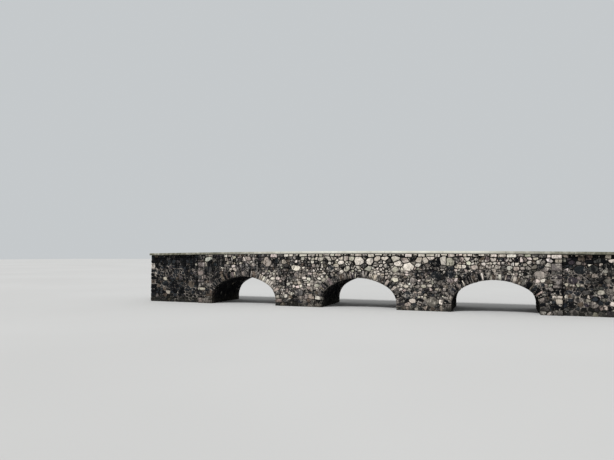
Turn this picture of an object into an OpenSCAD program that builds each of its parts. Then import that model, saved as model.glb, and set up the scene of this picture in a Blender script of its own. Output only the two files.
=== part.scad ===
// Stone arch bridge: three low basket-handle arches of rough fieldstone, with
// parapets, a pale coping, and set-back approach walls at both ends.
// Millimetres. X runs along the bridge, the front face looks along -Y, Z is up.
// The origin is at the middle of the footprint, at the level of the water.

/* [Arches] */
// Distance from the middle of one arch to the middle of the next
arch_spacing = 8000; // [7200:100:9000]
// Clear width of an arch at its springing
arch_span = 4800; // [4200:100:5400]
// Height of an arch from its springing to its crown
arch_rise = 1550; // [1450:50:1800]
// Radius of the tight curve at each haunch of an arch
haunch_r = 1200; // [900:50:1300]
// Height of the springing above the water
springing_h = 350; // [150:50:700]
// Depth of the arch stones, from the soffit outward
ring_depth = 450; // [300:25:600]
// Arch stones in one ring, an odd number so that one is the keystone
ring_stones = 35; // [25:2:45]
// How far the joints between arch stones wander, as a share of one stone
ring_wander = 0.2; // [0:0.05:0.3]
// Mortar joint between two arch stones
ring_joint = 8; // [4:1:15]
// Slope of the skewback that the ring starts from, above level
skewback_angle = 25; // [15:1:35]

/* [Width] */
// Clear width of the roadway between the parapets
road_w = 3000; // [2400:100:4200]
// Thickness of the face walls, and of the arch stones from front to back
wall_t = 500; // [400:25:700]

/* [Ends] */
// Width of the abutment beyond the outer arch, at the springing
abutment_w = 1100; // [900:50:2000]
// Length of the approach wall at each end
approach_l = 4100; // [2000:100:5000]
// How far the approach wall stands back behind the main face
approach_setback = 150; // [50:10:250]
// Thickness of the approach wall below the roadway
approach_base_t = 600; // [550:25:900]

/* [Heights] */
// Masonry over the crown of the ring, below the roadway
crown_cover = 80; // [40:10:300]
// Thickness of the road metal at the middle of the bridge
road_t = 200; // [150:10:300]
// Height of the parapet above the roadway, below its coping
parapet_h = 800; // [500:25:1100]
// Fall of the roadway and coping from the middle to each end
camber = 110; // [0:5:140]

/* [Coping] */
// Thickness of the coping
coping_t = 150; // [90:5:220]
// How far the coping stands out past each face of the parapet
coping_overhang = 50; // [20:5:90]
// Chamfer along the upper edges of the coping
coping_chamfer = 20; // [5:1:35]
// Lengths that the coping is cast in, along each side
coping_lengths = 9; // [5:2:15]
// Open joint between two lengths of coping
coping_joint = 8; // [4:1:15]

/* [Hidden] */

front = -1;
back = 1;
west = -1;
east = 1;

half_span = arch_span / 2;
main_half_l = arch_spacing + half_span + abutment_w;
half_l = main_half_l + approach_l;
half_road = road_w / 2;
half_w = half_road + wall_t;

// A basket-handle arch has three arcs that meet without a kink: two haunch arcs
// centred on the springing line, and a flat crown arc between them.
crown_r = (arch_rise ^ 2 + half_span ^ 2 - 2 * half_span * haunch_r) / (2 * (arch_rise - haunch_r));
crown_turn = asin((half_span - haunch_r) / (crown_r - haunch_r));
crown_centre_z = springing_h + arch_rise - crown_r;
skewback_turn = 90 - skewback_angle;
radian = 180 / PI;
crown_half_arc = crown_r * crown_turn / radian;
ring_half_arc = crown_half_arc + haunch_r * (skewback_turn - crown_turn) / radian;
skewback_steps = 4;

// Point on the arch where its outward normal leans by turn degrees from upright,
// moved out along that normal by offset. The arch is centred on x = 0.
function arch_point(turn, offset) =
  abs(turn) <= crown_turn
    ? [0, crown_centre_z] + (crown_r + offset) * [sin(turn), cos(turn)]
    : [sign(turn) * (half_span - haunch_r), springing_h] + (haunch_r + offset) * [sin(turn), cos(turn)];

// Lean of the normal at a distance along the soffit from the crown
function turn_at(arc) =
  abs(arc) <= crown_half_arc
    ? radian * arc / crown_r
    : sign(arc) * (crown_turn + radian * (abs(arc) - crown_half_arc) / haunch_r);

// The arch stones are split from fieldstone, so no two are equally thick. Each
// joint wanders by its own amount, the same on both sides of the keystone.
wander_step = 211;
function wander(from_key) = sign(from_key) * ring_wander * sin(wander_step * abs(from_key));

// Lean of the normal at joint i of the ring, counted from the west skewback
function joint_turn(i) =
  let (from_key = i - ring_stones / 2, at_skewback = i == 0 || i == ring_stones)
    turn_at(2 * ring_half_arc * (from_key + (at_skewback ? 0 : wander(from_key))) / ring_stones);

function between(a, b, share) = a + (b - a) * share;
function moved(points, x) = [for (p = points) [p[0] + x, p[1]]];
function mirrored(points) = [for (p = points) [-p[0], p[1]]];
function backwards(points) = [for (i = [len(points) - 1:-1:0]) points[i]];

soffit = [for (i = [0:ring_stones]) arch_point(joint_turn(i), 0)];
extrados = [for (i = [0:ring_stones]) arch_point(joint_turn(i), ring_depth)];
key = (ring_stones + 1) / 2;
ring_top_z = extrados[key][1];
skewback_top_z = extrados[ring_stones][1];

// Right-hand half of an arch's outside line, from over the crown to its skewback
extrados_half = concat(
  [[0, ring_top_z]],
  [for (i = [key:ring_stones]) extrados[i]]
);

// Right-hand jamb of an arch, from the water up to the top of its skewback
jamb = concat(
  [[half_span, 0]],
  [for (k = [0:skewback_steps]) arch_point(90 - skewback_angle * k / skewback_steps, 0)],
  [extrados[ring_stones]]
);

road_base_z = ring_top_z + crown_cover;
coping_base_z = road_base_z + road_t + parapet_h;

// The fall along the bridge is a shallow parabola in straight lengths, one for
// each length of coping, so that everything that follows it stays face to face.
camber_x = [for (i = [0:coping_lengths]) half_l * (2 * i / coping_lengths - 1)];
camber_line = [for (x = camber_x) [x, -camber * (x / half_l) ^ 2]];
function fall(x) = lookup(x, camber_line);

// Upper line of what follows the camber, between two places along the bridge
function cambered(z, x0, x1) = concat(
  [[x0, z + fall(x0)]],
  [for (x = camber_x) if (x > x0 && x < x1) [x, z + fall(x)]],
  [[x1, z + fall(x1)]]
);

stone_dark = [0.30, 0.29, 0.28];
stone_mid = [0.42, 0.41, 0.39];
stone_pale = [0.55, 0.53, 0.49];
concrete_pale = [0.74, 0.72, 0.66];
gravel = [0.52, 0.48, 0.42];

// Carries an outline drawn in x and z through the bridge, from y0 to y1
module across(y0, y1) {
  translate([0, y1, 0]) rotate([90, 0, 0]) linear_extrude(y1 - y0) children();
}

// The stretch of y that a face wall takes, on the front or on the back
module in_face(side, inner = half_road, outer = half_w) {
  across(min(side * inner, side * outer), max(side * inner, side * outer)) children();
}

// A pier stands between two arches and ends in a skewback for each
module pier_outline(x) {
  polygon(concat(
    moved(jamb, x - arch_spacing / 2),
    backwards(moved(mirrored(jamb), x + arch_spacing / 2))
  ));
}

module pier(end) {
  color(stone_dark) across(-half_w, half_w) pier_outline(end * arch_spacing / 2);
}

// An abutment is half a pier with an upright back
module abutment_outline() {
  polygon(concat(
    moved(jamb, arch_spacing),
    [[main_half_l, skewback_top_z], [main_half_l, 0]]
  ));
}

module abutment(end) {
  color(stone_dark) across(-half_w, half_w) scale_x(end) abutment_outline();
}

// Draws an outline of the east end as it is, or mirrored for the west end
module scale_x(end) {
  mirror([end == west ? 1 : 0, 0]) children();
}

module barrel(x) {
  color(stone_dark) across(-half_road, half_road)
    polygon(concat(moved(soffit, x), backwards(moved(extrados, x))));
}

// One arch stone. Its outer end lies flat on the masonry round the ring, and
// the first and last stones bed straight on the skewbacks.
module ring_stone(i) {
  joint_share = ring_joint / 2 / norm(soffit[i + 1] - soffit[i]);
  low = i == 0 ? 0 : joint_share;
  high = i == ring_stones - 1 ? 1 : 1 - joint_share;
  polygon([
    between(soffit[i], soffit[i + 1], low),
    between(soffit[i], soffit[i + 1], high),
    between(extrados[i], extrados[i + 1], high),
    between(extrados[i], extrados[i + 1], low)
  ]);
}

module ring(x, side) {
  color(stone_pale)
    for (i = [0:ring_stones - 1])
      in_face(side) translate([x, 0]) ring_stone(i);
}

// The masonry over a pier, from the crown of one arch to the crown of the next
module spandrel_outline(x) {
  polygon(concat(
    [[x - arch_spacing / 2, road_base_z]],
    moved(extrados_half, x - arch_spacing / 2),
    backwards(moved(mirrored(extrados_half), x + arch_spacing / 2)),
    [[x + arch_spacing / 2, road_base_z]]
  ));
}

// The masonry over an abutment, from the crown of the outer arch to the end
module end_spandrel_outline() {
  polygon(concat(
    [[arch_spacing, road_base_z]],
    moved(extrados_half, arch_spacing),
    [[main_half_l, skewback_top_z], [main_half_l, road_base_z]]
  ));
}

module spandrel(end, side) {
  color(stone_mid) in_face(side) spandrel_outline(end * arch_spacing / 2);
}

module end_spandrel(end, side) {
  color(stone_mid) in_face(side) scale_x(end) end_spandrel_outline();
}

module pier_fill(end) {
  color(gravel) across(-half_road, half_road) spandrel_outline(end * arch_spacing / 2);
}

module end_fill(end) {
  color(gravel) across(-half_road, half_road) scale_x(end) end_spandrel_outline();
}

module parapet(side) {
  color(stone_mid) in_face(side)
    polygon(concat(
      [[main_half_l, road_base_z], [-main_half_l, road_base_z]],
      cambered(coping_base_z, -main_half_l, main_half_l)
    ));
}

// An approach wall is thick below the roadway, where it holds back the fill,
// and stands up as a thinner parapet above it.
module approach_wall(end, side) {
  outer = half_w - approach_setback;
  color(stone_dark) {
    in_face(side, half_road, outer) scale_x(end)
      polygon(concat(
        [[half_l, 0], [main_half_l, 0]],
        cambered(coping_base_z, main_half_l, half_l)
      ));
    in_face(side, outer - approach_base_t, outer) scale_x(end)
      translate([main_half_l, 0]) square([approach_l, road_base_z]);
  }
}

module approach_fill(end) {
  inner = half_w - approach_setback - approach_base_t;
  color(gravel) across(-inner, inner) scale_x(end)
    translate([main_half_l, 0]) square([approach_l, road_base_z]);
}

module road_surface() {
  color(gravel) across(-half_road, half_road)
    polygon(concat(
      [[half_l, road_base_z], [-half_l, road_base_z]],
      cambered(road_base_z + road_t, -half_l, half_l)
    ));
}

// Cross-section of the coping, with the middle of its underside at the origin
module coping_section() {
  half = wall_t / 2 + coping_overhang;
  polygon([
    [-half, 0], [half, 0],
    [half, coping_t - coping_chamfer], [half - coping_chamfer, coping_t],
    [coping_chamfer - half, coping_t], [-half, coping_t - coping_chamfer]
  ]);
}

// Each length is straight and lies flat on the parapet under it
module coping(side) {
  color(concrete_pale)
    for (i = [0:coping_lengths - 1]) {
      x0 = camber_x[i];
      run = camber_x[i + 1] - x0;
      drop = fall(camber_x[i + 1]) - fall(x0);
      low = i == 0 ? 0 : coping_joint / 2;
      high = i == coping_lengths - 1 ? 0 : coping_joint / 2;
      translate([x0, side * (half_road + wall_t / 2), coping_base_z + fall(x0)])
        rotate([0, -atan2(drop, run), 0]) translate([low, 0, 0])
        rotate([90, 0, 90]) linear_extrude(norm([run, drop]) - low - high) coping_section();
    }
}

abutment(west);  // west_abutment
abutment(east);  // east_abutment
pier(west);  // west_pier
pier(east);  // east_pier
barrel(-arch_spacing);  // west_barrel
barrel(0);  // middle_barrel
barrel(arch_spacing);  // east_barrel
ring(-arch_spacing, front);  // front_west_ring
ring(0, front);  // front_middle_ring
ring(arch_spacing, front);  // front_east_ring
ring(-arch_spacing, back);  // back_west_ring
ring(0, back);  // back_middle_ring
ring(arch_spacing, back);  // back_east_ring
end_spandrel(west, front);  // front_west_end_spandrel
spandrel(west, front);  // front_west_spandrel
spandrel(east, front);  // front_east_spandrel
end_spandrel(east, front);  // front_east_end_spandrel
end_spandrel(west, back);  // back_west_end_spandrel
spandrel(west, back);  // back_west_spandrel
spandrel(east, back);  // back_east_spandrel
end_spandrel(east, back);  // back_east_end_spandrel
parapet(front);  // front_parapet
parapet(back);  // back_parapet
approach_wall(west, front);  // front_west_approach_wall
approach_wall(east, front);  // front_east_approach_wall
approach_wall(west, back);  // back_west_approach_wall
approach_wall(east, back);  // back_east_approach_wall
coping(front);  // front_coping
coping(back);  // back_coping
approach_fill(west);  // west_approach_fill
end_fill(west);  // west_end_fill
pier_fill(west);  // west_pier_fill
pier_fill(east);  // east_pier_fill
end_fill(east);  // east_end_fill
approach_fill(east);  // east_approach_fill
road_surface();
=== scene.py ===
"""Looks of a low rubble-stone bridge with three basket-handle arches.

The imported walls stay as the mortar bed, and every fieldstone is laid on them as a shape of its own.
X runs along the bridge, the photographed face looks along -Y, Z is up, and lengths are in metres.
"""

import itertools
import math

import bpy
import numpy as np
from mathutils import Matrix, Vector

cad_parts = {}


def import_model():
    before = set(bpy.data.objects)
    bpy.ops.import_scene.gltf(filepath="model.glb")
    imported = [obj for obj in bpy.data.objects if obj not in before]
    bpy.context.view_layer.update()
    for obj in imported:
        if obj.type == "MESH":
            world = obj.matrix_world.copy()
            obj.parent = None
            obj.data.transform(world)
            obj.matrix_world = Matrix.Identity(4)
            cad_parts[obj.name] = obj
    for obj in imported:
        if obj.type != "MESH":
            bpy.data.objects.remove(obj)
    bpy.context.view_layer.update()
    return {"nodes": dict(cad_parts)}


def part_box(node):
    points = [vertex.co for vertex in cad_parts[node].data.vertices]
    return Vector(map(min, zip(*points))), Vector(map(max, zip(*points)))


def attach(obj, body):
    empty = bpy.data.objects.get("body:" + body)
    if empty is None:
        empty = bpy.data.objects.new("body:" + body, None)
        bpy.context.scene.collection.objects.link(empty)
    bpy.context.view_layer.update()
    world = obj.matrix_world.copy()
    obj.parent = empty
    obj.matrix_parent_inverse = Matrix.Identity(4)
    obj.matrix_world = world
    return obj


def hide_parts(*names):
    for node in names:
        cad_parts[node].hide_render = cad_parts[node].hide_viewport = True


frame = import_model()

# Sizes from the frame
HALF_LENGTH, ROAD_HALF, ROAD_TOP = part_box("road_surface")[1]
ROAD_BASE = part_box("road_surface")[0][2]
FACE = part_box("back_parapet")[1][1]
MAIN_HALF, _, COPING_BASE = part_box("front_parapet")[1]
(_, COPING_IN, _), (_, COPING_OUT, COPING_TOP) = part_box("back_coping")
(_, APPROACH_BASE, _), (_, APPROACH_FACE, _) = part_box("back_west_approach_wall")
FILL_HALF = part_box("west_approach_fill")[1][1]
SPACING = (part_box("east_barrel")[0][0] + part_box("east_barrel")[1][0]) / 2

ARCHES = (("west", -SPACING), ("middle", 0.0), ("east", SPACING))
SIDES = (("front", -1), ("back", 1))
ENDS = (("west", -1), ("east", 1))

# The arch: its clear span, its curve of three arcs, and its ring of stones
SPAN = 4.8
RISE = 1.55
SPRINGING = 0.35
HAUNCH_R = 1.2
RING_STONES = 35
RING_WANDER = 0.2
WANDER_STEP = 211
SKEWBACK_TURN = math.radians(65)
RING_LENGTHS = (0.33, 0.50)
JAMB_STONES = 4
JAMB_LENGTHS = (0.30, 0.48)
RING_DEPTH = 0.47
JAMB_DEPTH = 0.36

# The fall of coping and road from the middle to each end, in straight lengths
CAMBER = 0.11
COPING_LENGTHS = 9
COPING_JOINT = 0.008
COPING_BEVEL = 0.02
COPING_STATIONS = 64

# Rubble: its joints, how far it stands proud, and how the outline of a stone is broken up
JOINT = 0.030
PROUD = 0.036
SOFFIT_PROUD = 0.024
MAX_PROUD = 0.047
END_RECESS = 0.054
FLOOR_GAP = 0.004
COPING_GAP = 0.006
RAKED = 0.018
OUTLINE_STEP = 0.11
CORNER_CHIP = 0.020
SHORT_EDGE = 0.035
SMALLEST_STONE = 0.0030
TILT = 0.07
ROUGH = 0.004

# Boulders to a square metre, pinnings to each stone and their reach, and how flat the stones lie
BOULDERS = 0.5
PINNINGS = 0.16
PINNING_REACH = 0.045
STRETCH = 0.78

# Heights of the courses of rubble
FACE_RUBBLE = 0.235
PARAPET_RUBBLE = 0.24
END_RUBBLE = 0.22
FILL_RUBBLE = 0.27
SOFFIT_RUBBLE = 0.27
JAMB_RUBBLE = 0.26

# The levelling course under the coping
BED_HEIGHTS = (0.12, 0.24)
BED_LENGTHS = (0.22, 0.58)
BED_SLANT = 0.02
SHORTEST_BED = 0.09

# Arch stones: how far they hang below the barrel and stand proud of the face, and their wear
ARCH_LIP = 0.012
ARCH_PROUD = (0.008, 0.040)
ARCH_WEAR = 0.022
ARCH_ROUGH = 0.005

# Corner stones, their wear, and where the rubble stops beside them
CORNER_WIDTHS = (0.34, 0.52)
CORNER_HEIGHT = 0.29
CORNER_SWAY = 0.08
CORNER_DEPTH = 0.34
CORNER_TAIL = 0.08
CORNER_OUT = 0.03
CORNER_PROUD = 0.034
CORNER_STOP = 0.30
CORNER_WEAR = 0.036
CORNER_ROUGH = 0.013
SET_BACK = 0.035

# What the seeds of each kind of work start from
SEEDS = {"plan": 20, "ring": 30, "soffit": 50, "approach": 70, "parapet": 81, "coping": 91, "end": 101,
         "wall": 223}

half_span = SPAN / 2
crown_r = (RISE ** 2 + half_span ** 2 - SPAN * HAUNCH_R) / (2 * (RISE - HAUNCH_R))
crown_turn = math.asin((half_span - HAUNCH_R) / (crown_r - HAUNCH_R))
crown_centre = SPRINGING + RISE - crown_r
crown_half_arc = crown_r * crown_turn
ring_half_arc = crown_half_arc + HAUNCH_R * (SKEWBACK_TURN - crown_turn)
soffit_half_arc = crown_half_arc + HAUNCH_R * (math.pi / 2 - crown_turn)
foot_arc = soffit_half_arc + SPRINGING - FLOOR_GAP
camber_x = np.linspace(-HALF_LENGTH, HALF_LENGTH, COPING_LENGTHS + 1)
camber_z = -CAMBER * (camber_x / HALF_LENGTH) ** 2


def fall(x):
    """How far the road and the coping lie below their height at the middle."""
    return np.interp(x, camber_x, camber_z)


def under_coping(x):
    """How high the stones of a wall may reach."""
    return COPING_BASE + fall(x) - COPING_GAP


def arch_point(arc, offset):
    """x and z of a point at that distance along the soffit from the crown, moved outward by offset.
    Past the springing the soffit runs straight down the jamb."""
    arc = np.asarray(arc, float)
    run = np.abs(arc)
    in_crown = run <= crown_half_arc
    turn = np.where(in_crown, run / crown_r, crown_turn + (run - crown_half_arc) / HAUNCH_R)
    turn = np.minimum(turn, math.pi / 2)
    radius = np.where(in_crown, crown_r, HAUNCH_R) + offset
    x = np.where(in_crown, 0.0, half_span - HAUNCH_R) + radius * np.sin(turn)
    z = np.where(in_crown, crown_centre, SPRINGING) + radius * np.cos(turn)
    return np.sign(arc) * x, z - np.maximum(run - soffit_half_arc, 0.0)


# Cells: irregular polygons that tile a stretch of wall

def clipped(polygon, nu, nv, limit):
    """The part of a convex polygon where nu * u + nv * v is at most limit."""
    kept = []
    for a, b in zip(polygon, polygon[1:] + polygon[:1]):
        da = nu * a[0] + nv * a[1] - limit
        db = nu * b[0] + nv * b[1] - limit
        if da <= 0:
            kept.append(a)
        if (da < 0 < db) or (db < 0 < da):
            t = da / (da - db)
            kept.append((a[0] + t * (b[0] - a[0]), a[1] + t * (b[1] - a[1])))
    return kept


def rectangle(u0, v0, u1, v1):
    """The corners of a rectangle, in turn."""
    return [(u0, v0), (u1, v0), (u1, v1), (u0, v1)]


def nearest_on(outline, point):
    """The nearest point on a closed convex outline, its distance, and whether the point lies inside."""
    run = np.roll(outline, -1, axis=0) - outline
    share = ((point - outline) * run).sum(1) / (run ** 2).sum(1)
    foot = outline + run * np.clip(share, 0, 1)[:, None]
    gap = np.linalg.norm(foot - point, axis=1)
    cross = run[:, 0] * (point[1] - outline[:, 1]) - run[:, 1] * (point[0] - outline[:, 0])
    return foot[gap.argmin()], gap.min(), (cross > 0).all() or (cross < 0).all()


def rubble_seeds(rng, low, high, size, placed):
    """Middles of stones in wandering courses, each with its reach, round the stones already placed.
    Boulders are set among them, and small pinnings between them."""
    seeds = list(placed)
    for _ in range(int(BOULDERS * (high[0] - low[0]) * (high[1] - low[1]))):
        spot = rng.uniform(low, high)
        reach = size * rng.uniform(0.75, 1.15)
        if all(math.hypot(spot[0] - s[0], spot[1] - s[1]) > 1.15 * (reach + s[2]) for s in seeds):
            seeds.append((*spot, reach))
    large = np.array(seeds).reshape(-1, 3)
    phase = rng.uniform(0, 6.3, 2)
    v = low[1]
    while v < high[1]:
        height = size * rng.uniform(0.55, 1.25)
        u = low[0] - rng.uniform(0, size)
        while u < high[0] + size:
            width = height * rng.uniform(0.7, 1.9)
            wave = 0.05 * math.sin(0.8 * u + phase[0]) + 0.03 * math.sin(2.1 * u + phase[1])
            spot = (u + width / 2, v + height * rng.uniform(0.15, 0.85) + wave)
            reach = 0.42 * math.sqrt(width * height) * rng.uniform(0.75, 1.15)
            pinning = (u + rng.normal(0, 0.02), v + height * rng.uniform(0, 1), PINNING_REACH)
            for seed in ((*spot, reach),) + ((pinning,) if rng.random() < PINNINGS else ()):
                gap = np.hypot(large[:, 0] - seed[0], large[:, 1] - seed[1])
                if (gap > large[:, 2] + 0.55 * seed[2]).all():
                    seeds.append(seed)
            u += width
        v += height
    return seeds


def rubble_cells(rng, low, high, size, blocked=(), top=None, placed=()):
    """Cells of rubble in a rectangle of wall, clear of the blocked convex outlines."""
    middles = np.array([outline.mean(0) for outline in blocked]).reshape(-1, 2)
    spans = np.array([np.linalg.norm(o - m, axis=1).max() for o, m in zip(blocked, middles)])
    kept = []
    for u, v, reach in rubble_seeds(rng, low, high, size, placed):
        u = min(max(u, low[0] + 0.3 * reach), high[0] - 0.3 * reach)
        v = min(max(v, low[1] + 0.3 * reach), high[1] - 0.3 * reach)
        point = np.array((u, v))
        clips = []
        for k in np.flatnonzero(np.linalg.norm(middles - point, axis=1) - spans < 3 * size):
            foot, gap, inside = nearest_on(blocked[k], point)
            if inside or gap < 0.4 * reach:
                break
            away = (point - foot) / gap
            clips.append((-away[0], -away[1], -(away @ foot) - JOINT / 2))
        else:
            kept.append((u, v, reach, clips))
    places = np.array([k[:3] for k in kept])
    metric = places[:, :2] * (STRETCH, 1.0)
    cells = []
    for i, (u, v, reach, clips) in enumerate(kept):
        order = np.argsort(((metric - metric[i]) ** 2).sum(1))[1:28]
        r = 3.2 * size
        u0, v0 = max(u - r, low[0]), max(v - r, low[1])
        cell = rectangle(u0, v0, min(u + r, high[0]), min(v + r, high[1]))
        if top is not None:
            cell = clipped(cell, 0.0, 1.0, top(u))
        for nu, nv, limit in clips:
            cell = clipped(cell, nu, nv, limit)
        for j in order:
            du, dv = metric[j] - metric[i]
            limit = (metric[j] @ metric[j] - metric[i] @ metric[i] + reach ** 2 - places[j, 2] ** 2) / 2
            nu, nv = du * STRETCH, dv
            length = math.hypot(nu, nv)
            if length < 1e-6:
                continue
            cell = clipped(cell, nu / length, nv / length, limit / length - JOINT / 2)
            if len(cell) < 3:
                break
        if len(cell) >= 3 and area_of(np.array(cell)) > SMALLEST_STONE:
            cells.append(np.array(cell))
    return cells


def area_of(cell):
    """The area of a polygon."""
    u, v = cell[:, 0], cell[:, 1]
    return 0.5 * abs((u * np.roll(v, -1) - v * np.roll(u, -1)).sum())


class Heap:
    """The many small shapes that make one mesh, and the seeded chance that they are laid by."""

    def __init__(self, seed=0):
        self.rng = np.random.default_rng(seed)
        self.points, self.faces, self.slots = [], [], []
        self.tones, self.weather, self.edges = [], [], []
        self.count = 0

    def add(self, points, faces, tone=(0.5, 0.5, 0.5), weather=(0, 0, 0), edge=0.0, slot=0):
        self.points.append(points)
        self.faces += [tuple(self.count + i for i in face) for face in faces]
        self.slots += [slot] * len(faces)
        self.tones.append(np.broadcast_to(tone, (len(points), 3)))
        self.weather.append(np.broadcast_to(weather, (len(points), 3)))
        self.edges.append(np.broadcast_to(edge, len(points)))
        self.count += len(points)


def outline_of(rng, cell):
    """Points round a cell: its corners are broken off and its long edges wander."""
    points = []
    for a, b in zip(cell, np.roll(cell, -1, axis=0)):
        run = b - a
        length = math.hypot(*run)
        if length < SHORT_EDGE:
            points.append((a + b) / 2)
            continue
        chip = min(CORNER_CHIP * rng.uniform(0.5, 1.6), 0.3 * length)
        inward = np.array((-run[1], run[0])) / length
        marks = np.linspace(chip, length - chip, 2 + int(length / OUTLINE_STEP))
        for k, mark in enumerate(marks):
            dent = rng.uniform(-0.001, 0.014) if 0 < k < len(marks) - 1 else 0.0
            points.append(a + run * mark / length + inward * dent)
    points = np.array(points)
    return 0.72 * points + 0.14 * (np.roll(points, 1, 0) + np.roll(points, -1, 0))


# How a stone rises from its bed: inset of each ring of points, its share of the height, how much of its
# tone it keeps, darker down its sides, and how much mortar clings to it
STONE_RINGS = (
    (0.0, -0.35, 0.15, 1.0),
    (0.0, 0.45, 0.5, 0.9),
    (0.008, 0.86, 0.90, 0.35),
    (0.026, 1.0, 1.0, 0.0),
)
# The same for the ring half-way in and for the middle, which need no inset
STONE_TOP = ((0.0, 1.05, 1.0, 0.0), (0.0, 1.07, 1.0, 0.0))


def lay_stone(heap, cell, place, tone, weather, proud=PROUD):
    """One stone on its cell. place turns u, v and height into points in space."""
    rng = heap.rng
    ring = outline_of(rng, cell)
    middle = ring.mean(0)
    spoke = ring - middle
    reach = np.linalg.norm(spoke, axis=1, keepdims=True)
    count = len(ring)
    lift = proud * rng.uniform(0.5, 1.12)
    tilt = rng.normal(0, TILT, 2)
    wave = rng.normal(0, 1, (2, 2)) * 20
    shift = rng.uniform(0, 6.3, 2)
    layers = [middle + spoke * (1 - np.minimum(ring[0] / reach, 0.4)) for ring in STONE_RINGS]
    layers += [middle + spoke / 2, middle[None]]
    uv = np.vstack(layers)
    copies = [count] * (len(layers) - 1) + [1]
    share, kept_tone, edge = np.repeat(np.array(STONE_RINGS + STONE_TOP)[:, 1:], copies, axis=0).T
    local = uv - middle
    rough = ROUGH * (np.sin(local @ wave[0] + shift[0]) + np.sin(local @ wave[1] + shift[1]))
    height = share * (lift + local @ tilt) + np.clip(share, 0, 1) * rough
    height = np.clip(height, -0.02, MAX_PROUD)
    faces = []
    for layer in range(len(STONE_RINGS)):
        a = layer * count
        b = a + count
        faces += [(a + i, a + (i + 1) % count, b + (i + 1) % count, b + i) for i in range(count)]
    last = len(STONE_RINGS) * count
    faces += [(last + i, last + (i + 1) % count, last + count) for i in range(count)]
    heap.add(place(uv[:, 0], uv[:, 1], height), faces, np.asarray(tone) * kept_tone[:, None], weather, edge)


# Colour, weather and painted shade of the stones, from where they lie
# The black tone is darker than real stone: painted shade of the deep gaps between stones
STONE_TONES = {
    "black": (0.006, 0.0065, 0.008), "slate": (0.027, 0.031, 0.036), "plum": (0.052, 0.045, 0.051),
    "grey": (0.092, 0.087, 0.082), "brown": (0.125, 0.098, 0.077), "ash": (0.230, 0.203, 0.184),
    "rose": (0.370, 0.305, 0.272), "moss": (0.455, 0.435, 0.345), "cream": (0.540, 0.476, 0.396),
    "chalk": (0.900, 0.822, 0.722),
}
TONES = np.array(list(STONE_TONES.values()))
# The brightest that chance may make a tone, so that no stone clips to white
PALEST = 0.9
# How often each tone comes where the wall is dark, middling and pale
DARK_WEIGHTS = np.array((0.50, 0.26, 0.06, 0.09, 0.05, 0.03, 0.0, 0.0, 0.01, 0.0))
MID_WEIGHTS = np.array((0.15, 0.12, 0.05, 0.15, 0.09, 0.16, 0.07, 0.03, 0.11, 0.07))
PALE_WEIGHTS = np.array((0.21, 0.04, 0.02, 0.02, 0.01, 0.02, 0.06, 0.04, 0.11, 0.47))

# Large stones that stand out on the photographed face: middle x and z, reach, and tone
LANDMARKS = (
    (0.10, 2.95, 0.26, "chalk"), (0.75, 2.95, 0.20, "chalk"), (0.65, 2.45, 0.18, "rose"),
    (-1.10, 2.85, 0.16, "chalk"), (-1.55, 3.15, 0.16, "cream"), (1.20, 3.05, 0.14, "cream"),
    (1.75, 3.10, 0.14, "chalk"), (-0.70, 2.45, 0.18, "moss"), (2.35, 3.10, 0.16, "moss"),
    (2.55, 2.80, 0.18, "chalk"), (2.35, 2.45, 0.18, "moss"), (2.95, 3.00, 0.16, "rose"),
    (3.15, 2.60, 0.26, "chalk"), (3.75, 3.00, 0.16, "cream"), (4.15, 2.95, 0.16, "cream"),
    (5.20, 2.90, 0.18, "rose"), (5.60, 2.90, 0.22, "moss"), (3.40, 1.80, 0.18, "ash"),
    (-2.35, 2.60, 0.12, "chalk"), (-5.00, 2.85, 0.14, "cream"), (-9.60, 2.90, 0.08, "chalk"),
    (0.45, 3.15, 0.14, "black"), (0.40, 2.65, 0.16, "black"), (1.95, 2.95, 0.14, "black"),
    (3.45, 3.10, 0.14, "black"), (-2.10, 2.90, 0.14, "black"), (4.80, 2.85, 0.22, "black"),
    (1.80, 2.65, 0.16, "slate"), (4.80, 2.10, 0.28, "slate"), (-1.80, 2.45, 0.22, "slate"),
    (5.60, 2.20, 0.24, "slate"),
)
LANDMARK_PLACES = np.array([mark[:3] for mark in LANDMARKS])

# Patches of weather and painted shade on the photographed face: middle x and z, reach in x and z, and
# strength.
# Above 0 a patch is paler than the rest of the wall, and below 0 darker; the dark ones at x -10.3 and
# 11.2 are painted shade.
PALE_PATCHES = (
    (-0.5, 3.35, 5.0, 0.30, 1.0), (1.4, 2.85, 2.4, 0.55, 1.1), (1.1, 2.15, 1.5, 0.4, 0.7),
    (-2.4, 2.7, 1.3, 0.6, 0.75), (-5.95, 1.5, 0.55, 0.65, 1.5), (-11.3, 3.2, 0.35, 0.5, 0.5),
    (8.5, 2.9, 2.4, 0.7, 0.5), (-10.3, 2.5, 0.9, 1.5, -1.2), (-4.6, 2.45, 1.2, 0.5, -0.4),
    (5.0, 2.5, 0.7, 0.45, -0.5), (9.0, 2.1, 2.0, 0.5, 0.3), (11.2, 2.0, 0.6, 0.8, -0.3),
    (-7.0, 2.6, 1.1, 0.5, -0.45), (-3.6, 1.6, 1.4, 0.5, 0.2), (3.9, 1.6, 1.2, 0.5, 0.1),
    (4.2, 3.3, 1.8, 0.25, 0.7), (-3.6, 2.8, 0.8, 0.35, -0.15),
)
# How pale the wall is otherwise: the main wall, each approach, and the drift of both
MAIN_PALENESS = 0.06
# Both approaches are darker as painted shade of shrubs and leaves, the west one partly as stain too
END_PALENESS = {-1: -1.1, 1: -0.45}
DRIFT = 0.11
DRIFT_WAVES = ((2.1, 1.3, 0.0), (-1.7, 3.9, 2.2), (4.3, -2.6, 5.1), (0.7, 6.2, 1.0))
# How much paler a stone is than the wall round it
PALER = {"ring": -0.3, "bed": 0.2, "corner": 0.05, "end_corner": 0.1, "end": 0.1, "parapet": 0.1}
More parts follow.
